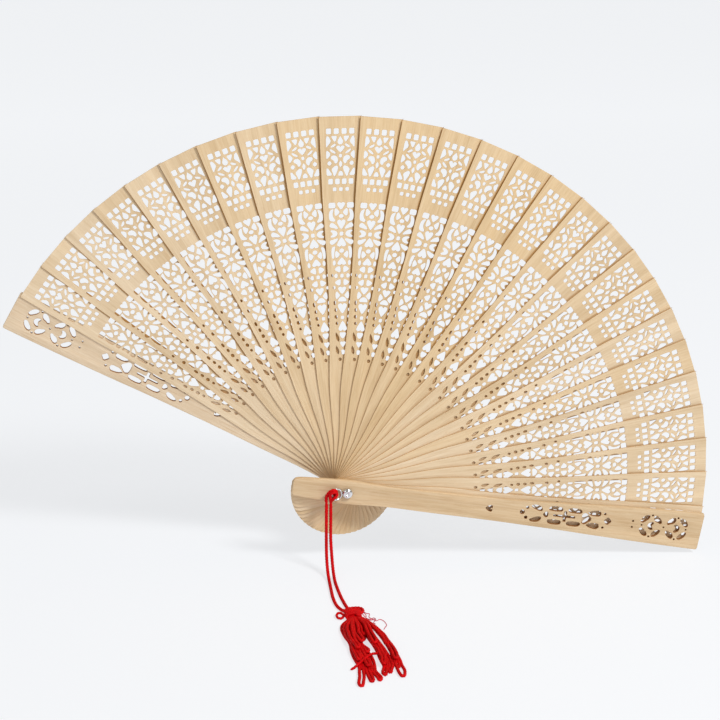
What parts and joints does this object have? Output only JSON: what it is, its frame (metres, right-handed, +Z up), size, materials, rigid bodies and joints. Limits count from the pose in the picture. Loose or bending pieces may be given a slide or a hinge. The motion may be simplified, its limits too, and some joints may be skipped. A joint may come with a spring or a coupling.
{
  "type": "folding hand fan",
  "caption": "Folding brise hand fan of thin pierced wooden sticks between two guards on one rivet, opening to a half disc, with a red cord tassel on a metal link.",
  "frame": {"origin": "on the rivet's axis, at the front face of the front guard", "axes": "+Z up, the open fan stands in the XZ plane, +X towards the tip of the front guard's side, +Y from the front to the back; the front looks to -Y"},
  "size_m": [0.338, 0.1389, 0.2174],
  "materials": {
    "stick_wood": "smooth sanded pale wood, unvarnished",
    "guard_wood": "smooth sanded pale wood, unvarnished",
    "rivet_metal": "bright plated",
    "red_cord": "twisted satin cord",
    "ribbon_cloth": "thin woven ribbon"
  },
  "bodies": {
    "front_body": {"front_guard": "guard_wood", "rivet_pin": "rivet_metal", "rear_washer": "rivet_metal", "rivet_cap": "rivet_metal", "back_ribbon": "ribbon_cloth"},
    "rear_body": {"rear_guard": "guard_wood"},
    "stick_01": {"stick_01": "stick_wood"},
    "stick_02": {"stick_02": "stick_wood"},
    "stick_03": {"stick_03": "stick_wood"},
    "stick_04": {"stick_04": "stick_wood"},
    "stick_05": {"stick_05": "stick_wood"},
    "stick_06": {"stick_06": "stick_wood"},
    "stick_07": {"stick_07": "stick_wood"},
    "stick_08": {"stick_08": "stick_wood"},
    "stick_09": {"stick_09": "stick_wood"},
    "stick_10": {"stick_10": "stick_wood"},
    "stick_11": {"stick_11": "stick_wood"},
    "stick_12": {"stick_12": "stick_wood"},
    "stick_13": {"stick_13": "stick_wood"},
    "stick_14": {"stick_14": "stick_wood"},
    "stick_15": {"stick_15": "stick_wood"},
    "stick_16": {"stick_16": "stick_wood"},
    "stick_17": {"stick_17": "stick_wood"},
    "stick_18": {"stick_18": "stick_wood"},
    "stick_19": {"stick_19": "stick_wood"},
    "stick_20": {"stick_20": "stick_wood"},
    "stick_21": {"stick_21": "stick_wood"},
    "stick_22": {"stick_22": "stick_wood"},
    "stick_23": {"stick_23": "stick_wood"},
    "stick_24": {"stick_24": "stick_wood"},
    "stick_25": {"stick_25": "stick_wood"},
    "stick_26": {"stick_26": "stick_wood"},
    "stick_27": {"stick_27": "stick_wood"},
    "link_body": {"swivel_link": "rivet_metal", "cord_hitch": "red_cord", "cord_left": "red_cord", "cord_right": "red_cord", "tassel_bow": "red_cord", "tassel_knot": "red_cord", "tassel_skirt": "red_cord"}
  },
  "joints": [
    {"name": "fan_fold", "type": "hinge", "parent": "front_body", "child": "rear_body", "pos_m": [0, 0.021, 0], "axis": [0, 1, 0], "range_deg": [0, 158.94], "deforming": ["back_ribbon"]},
    {"name": "stick_01_pivot", "type": "hinge", "parent": "front_body", "child": "stick_01", "pos_m": [0, 0.0195, 0], "axis": [0, 1, 0], "range_deg": [-0.5, 153.89]},
    {"name": "stick_02_pivot", "type": "hinge", "parent": "front_body", "child": "stick_02", "pos_m": [0, 0.01885, 0], "axis": [0, 1, 0], "range_deg": [-0.5, 148.19]},
    {"name": "stick_03_pivot", "type": "hinge", "parent": "front_body", "child": "stick_03", "pos_m": [0, 0.0182, 0], "axis": [0, 1, 0], "range_deg": [-0.5, 142.43]},
    {"name": "stick_04_pivot", "type": "hinge", "parent": "front_body", "child": "stick_04", "pos_m": [0, 0.01755, 0], "axis": [0, 1, 0], "range_deg": [-0.5, 136.59]},
    {"name": "stick_05_pivot", "type": "hinge", "parent": "front_body", "child": "stick_05", "pos_m": [0, 0.0169, 0], "axis": [0, 1, 0], "range_deg": [-0.5, 130.66]},
    {"name": "stick_06_pivot", "type": "hinge", "parent": "front_body", "child": "stick_06", "pos_m": [0, 0.01625, 0], "axis": [0, 1, 0], "range_deg": [-0.5, 124.67]},
    {"name": "stick_07_pivot", "type": "hinge", "parent": "front_body", "child": "stick_07", "pos_m": [0, 0.0156, 0], "axis": [0, 1, 0], "range_deg": [-0.5, 118.61]},
    {"name": "stick_08_pivot", "type": "hinge", "parent": "front_body", "child": "stick_08", "pos_m": [0, 0.01495, 0], "axis": [0, 1, 0], "range_deg": [-0.5, 112.5]},
    {"name": "stick_09_pivot", "type": "hinge", "parent": "front_body", "child": "stick_09", "pos_m": [0, 0.0143, 0], "axis": [0, 1, 0], "range_deg": [-0.5, 106.35]},
    {"name": "stick_10_pivot", "type": "hinge", "parent": "front_body", "child": "stick_10", "pos_m": [0, 0.01365, 0], "axis": [0, 1, 0], "range_deg": [-0.5, 100.17]},
    {"name": "stick_11_pivot", "type": "hinge", "parent": "front_body", "child": "stick_11", "pos_m": [0, 0.013, 0], "axis": [0, 1, 0], "range_deg": [-0.5, 94]},
    {"name": "stick_12_pivot", "type": "hinge", "parent": "front_body", "child": "stick_12", "pos_m": [0, 0.01235, 0], "axis": [0, 1, 0], "range_deg": [-0.5, 87.84]},
    {"name": "stick_13_pivot", "type": "hinge", "parent": "front_body", "child": "stick_13", "pos_m": [0, 0.0117, 0], "axis": [0, 1, 0], "range_deg": [-0.5, 81.73]},
    {"name": "stick_14_pivot", "type": "hinge", "parent": "front_body", "child": "stick_14", "pos_m": [0, 0.01105, 0], "axis": [0, 1, 0], "range_deg": [-0.5, 75.66]},
    {"name": "stick_15_pivot", "type": "hinge", "parent": "front_body", "child": "stick_15", "pos_m": [0, 0.0104, 0], "axis": [0, 1, 0], "range_deg": [-0.5, 69.66]},
    {"name": "stick_16_pivot", "type": "hinge", "parent": "front_body", "child": "stick_16", "pos_m": [0, 0.00975, 0], "axis": [0, 1, 0], "range_deg": [-0.5, 63.73]},
    {"name": "stick_17_pivot", "type": "hinge", "parent": "front_body", "child": "stick_17", "pos_m": [0, 0.0091, 0], "axis": [0, 1, 0], "range_deg": [-0.5, 57.88]},
    {"name": "stick_18_pivot", "type": "hinge", "parent": "front_body", "child": "stick_18", "pos_m": [0, 0.00845, 0], "axis": [0, 1, 0], "range_deg": [-0.5, 52.1]},
    {"name": "stick_19_pivot", "type": "hinge", "parent": "front_body", "child": "stick_19", "pos_m": [0, 0.0078, 0], "axis": [0, 1, 0], "range_deg": [-0.5, 46.4]},
    {"name": "stick_20_pivot", "type": "hinge", "parent": "front_body", "child": "stick_20", "pos_m": [0, 0.00715, 0], "axis": [0, 1, 0], "range_deg": [-0.5, 40.76]},
    {"name": "stick_21_pivot", "type": "hinge", "parent": "front_body", "child": "stick_21", "pos_m": [0, 0.0065, 0], "axis": [0, 1, 0], "range_deg": [-0.5, 35.16]},
    {"name": "stick_22_pivot", "type": "hinge", "parent": "front_body", "child": "stick_22", "pos_m": [0, 0.00585, 0], "axis": [0, 1, 0], "range_deg": [-0.5, 29.59]},
    {"name": "stick_23_pivot", "type": "hinge", "parent": "front_body", "child": "stick_23", "pos_m": [0, 0.0052, 0], "axis": [0, 1, 0], "range_deg": [-0.5, 24.04]},
    {"name": "stick_24_pivot", "type": "hinge", "parent": "front_body", "child": "stick_24", "pos_m": [0, 0.00455, 0], "axis": [0, 1, 0], "range_deg": [-0.5, 18.47]},
    {"name": "stick_25_pivot", "type": "hinge", "parent": "front_body", "child": "stick_25", "pos_m": [0, 0.0039, 0], "axis": [0, 1, 0], "range_deg": [-0.5, 12.88]},
    {"name": "stick_26_pivot", "type": "hinge", "parent": "front_body", "child": "stick_26", "pos_m": [0, 0.00325, 0], "axis": [0, 1, 0], "range_deg": [-0.5, 7.24]},
    {"name": "stick_27_pivot", "type": "hinge", "parent": "front_body", "child": "stick_27", "pos_m": [0, 0.0026, 0], "axis": [0, 1, 0], "range_deg": [-0.5, 1.37]},
    {"name": "link_swivel", "type": "hinge", "parent": "front_body", "child": "link_body", "pos_m": [0, -0.0006, 0], "axis": [0, -1, 0], "range_deg": [0, 30]}
  ],
  "couplings": [
    {"joint": "stick_01_pivot", "follows": "fan_fold", "ratio": 0.96508},
    {"joint": "stick_02_pivot", "follows": "fan_fold", "ratio": 0.92924},
    {"joint": "stick_03_pivot", "follows": "fan_fold", "ratio": 0.89296},
    {"joint": "stick_04_pivot", "follows": "fan_fold", "ratio": 0.8562},
    {"joint": "stick_05_pivot", "follows": "fan_fold", "ratio": 0.81896},
    {"joint": "stick_06_pivot", "follows": "fan_fold", "ratio": 0.78125},
    {"joint": "stick_07_pivot", "follows": "fan_fold", "ratio": 0.74312},
    {"joint": "stick_08_pivot", "follows": "fan_fold", "ratio": 0.70465},
    {"joint": "stick_09_pivot", "follows": "fan_fold", "ratio": 0.66595},
    {"joint": "stick_10_pivot", "follows": "fan_fold", "ratio": 0.62711},
    {"joint": "stick_11_pivot", "follows": "fan_fold", "ratio": 0.58827},
    {"joint": "stick_12_pivot", "follows": "fan_fold", "ratio": 0.54954},
    {"joint": "stick_13_pivot", "follows": "fan_fold", "ratio": 0.51105},
    {"joint": "stick_14_pivot", "follows": "fan_fold", "ratio": 0.47288},
    {"joint": "stick_15_pivot", "follows": "fan_fold", "ratio": 0.43512},
    {"joint": "stick_16_pivot", "follows": "fan_fold", "ratio": 0.39782},
    {"joint": "stick_17_pivot", "follows": "fan_fold", "ratio": 0.36101},
    {"joint": "stick_18_pivot", "follows": "fan_fold", "ratio": 0.32467},
    {"joint": "stick_19_pivot", "follows": "fan_fold", "ratio": 0.28879},
    {"joint": "stick_20_pivot", "follows": "fan_fold", "ratio": 0.25328},
    {"joint": "stick_21_pivot", "follows": "fan_fold", "ratio": 0.21807},
    {"joint": "stick_22_pivot", "follows": "fan_fold", "ratio": 0.18304},
    {"joint": "stick_23_pivot", "follows": "fan_fold", "ratio": 0.14808},
    {"joint": "stick_24_pivot", "follows": "fan_fold", "ratio": 0.11306},
    {"joint": "stick_25_pivot", "follows": "fan_fold", "ratio": 0.077875},
    {"joint": "stick_26_pivot", "follows": "fan_fold", "ratio": 0.042406},
    {"joint": "stick_27_pivot", "follows": "fan_fold", "ratio": 0.005499}
  ]
}
